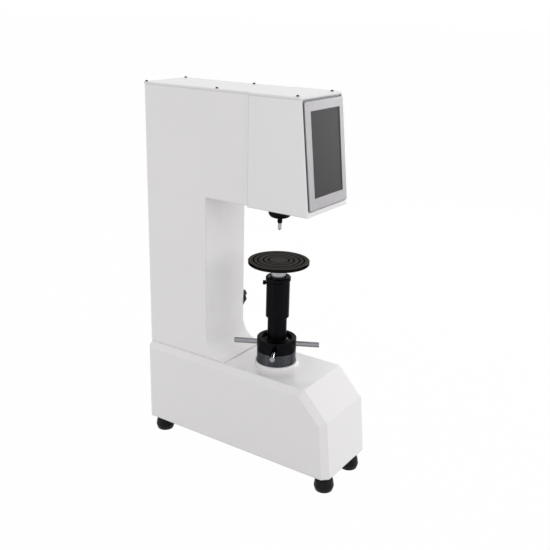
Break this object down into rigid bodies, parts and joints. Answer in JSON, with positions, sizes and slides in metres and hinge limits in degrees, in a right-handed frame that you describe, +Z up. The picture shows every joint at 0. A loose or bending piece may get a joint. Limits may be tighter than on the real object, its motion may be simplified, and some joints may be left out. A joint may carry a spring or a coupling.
{
  "type": "bench hardness tester",
  "caption": "Tall C-frame bench hardness tester with a touch screen on its head, a round anvil on an elevating screw and a hand capstan below it.",
  "frame": {"origin": "on the bench, on the machine's middle plane, at the centre of its footprint", "axes": "+Z up, +X to the right of an operator who faces the screen, +Y from the operator to the machine's back"},
  "size_m": [0.2048, 0.575, 0.9429],
  "materials": {
    "casting_enamel": "smooth gloss light enamel on cast iron",
    "sheet_enamel": "smooth semi-gloss enamel on sheet steel",
    "bezel_grey": "fine satin light grey",
    "screen_glass": "dark, slightly matt display glass",
    "black_steel": "polished black oxide",
    "ground_steel": "ground and polished",
    "chrome_plate": "mirror chrome",
    "hardened_steel": "fine ground hardened steel",
    "machine_steel": "plain machined",
    "cast_weight": "machined cast iron",
    "bush_bronze": "bored bronze",
    "foot_rubber": "matt black",
    "black_plastic": "matt black",
    "board_laminate": "green circuit board",
    "dial_plate": "black anodised"
  },
  "bodies": {
    "frame": {"base_casting": "casting_enamel", "column_casting": "casting_enamel", "head_cover": "sheet_enamel", "top_lid": "sheet_enamel", "rear_cover": "sheet_enamel", "cover_screws": "black_steel", "power_inlet": "black_plastic", "switch_frame": "black_plastic", "data_port": "black_plastic", "screen_frame": "bezel_grey", "screen_carrier": "machine_steel", "touch_screen": "screen_glass", "display_board": "board_laminate", "screw_guide": "bush_bronze", "bearing_ring": "black_steel", "thrust_bearing": "ground_steel", "spindle_guard": "black_steel", "spindle_housing": "machine_steel", "spindle_bushes": "bush_bronze", "scale_reader": "black_plastic", "fulcrum_bracket": "machine_steel", "fulcrum_pin": "ground_steel", "dash_cylinder": "machine_steel", "gearbox": "machine_steel", "load_motor": "machine_steel", "power_supply": "machine_steel", "control_board": "board_laminate", "column_bolts": "black_steel", "selector_plate": "dial_plate", "foot_front_left": "foot_rubber", "foot_front_right": "foot_rubber", "foot_rear_left": "foot_rubber", "foot_rear_right": "foot_rubber", "foot_studs": "ground_steel"},
    "handwheel": {"handwheel_hub": "black_steel", "handwheel_bar_1": "chrome_plate", "handwheel_bar_2": "chrome_plate", "handwheel_bar_3": "chrome_plate", "handwheel_bar_4": "chrome_plate", "elevating_nut": "bush_bronze", "lower_sleeve": "black_steel"},
    "elevating_screw": {"elevating_screw": "machine_steel", "upper_sleeve": "black_steel", "sleeve_collar": "black_steel"},
    "anvil": {"anvil_disc": "hardened_steel"},
    "clamp_screw": {"clamp_screw": "black_steel"},
    "spindle": {"spindle": "ground_steel", "indenter_holder": "black_steel", "indenter": "ground_steel", "scale_arm": "machine_steel"},
    "load_lever": {"load_lever": "machine_steel"},
    "weight_hanger": {"weight_hanger": "machine_steel", "weight_1": "cast_weight", "weight_2": "cast_weight", "weight_3": "cast_weight", "dash_piston": "ground_steel"},
    "loading_cam": {"loading_cam": "ground_steel"},
    "selector": {"selector_knob": "black_plastic", "selector_shaft": "ground_steel"},
    "power_rocker": {"power_rocker": "black_plastic"}
  },
  "joints": [
    {"name": "handwheel_spin", "type": "hinge", "parent": "frame", "child": "handwheel", "pos_m": [0, -0.07, 0.3195], "axis": [0, 0, 1], "range_deg": [-5328, 3600]},
    {"name": "screw_lift", "type": "slide", "parent": "frame", "child": "elevating_screw", "axis": [0, 0, 1], "range_m": [-0.0501, 0.0741]},
    {"name": "anvil_turn", "type": "hinge", "parent": "elevating_screw", "child": "anvil", "pos_m": [0, -0.07, 0.537], "axis": [0, 0, 1], "continuous": true},
    {"name": "clamp_screw_turn", "type": "hinge", "parent": "elevating_screw", "child": "clamp_screw", "pos_m": [-0.01932, -0.04081, 0.4785], "axis": [-0.5519, 0.8339, 0], "range_deg": [0, 360]},
    {"name": "spindle_slide", "type": "slide", "parent": "frame", "child": "spindle", "axis": [0, 0, 1], "range_m": [0, 0.003]},
    {"name": "cam_turn", "type": "hinge", "parent": "frame", "child": "loading_cam", "pos_m": [0, 0.229, 0.78368], "axis": [1, 0, 0], "range_deg": [0, 180]},
    {"name": "lever_swing", "type": "hinge", "parent": "frame", "child": "load_lever", "pos_m": [0, -0.092, 0.83828], "axis": [1, 0, 0], "range_deg": [-2.55, 0]},
    {"name": "hanger_drop", "type": "slide", "parent": "frame", "child": "weight_hanger", "axis": [0, 0, 1], "range_m": [-0.012, 0]},
    {"name": "selector_turn", "type": "hinge", "parent": "frame", "child": "selector", "pos_m": [0.0835, 0.122, 0.374], "axis": [1, 0, 0], "range_deg": [0, 120]},
    {"name": "power_switch_rock", "type": "hinge", "parent": "frame", "child": "power_rocker", "pos_m": [0.03, 0.282, 0.325], "axis": [1, 0, 0], "range_deg": [-16, 0]}
  ],
  "couplings": [
    {"joint": "screw_lift", "follows": "handwheel_spin", "m_per_rad": -0.00079577},
    {"joint": "lever_swing", "follows": "hanger_drop", "rad_per_m": 3.7037},
    {"joint": "cam_turn", "follows": "hanger_drop", "rad_per_m": -261.8}
  ]
}
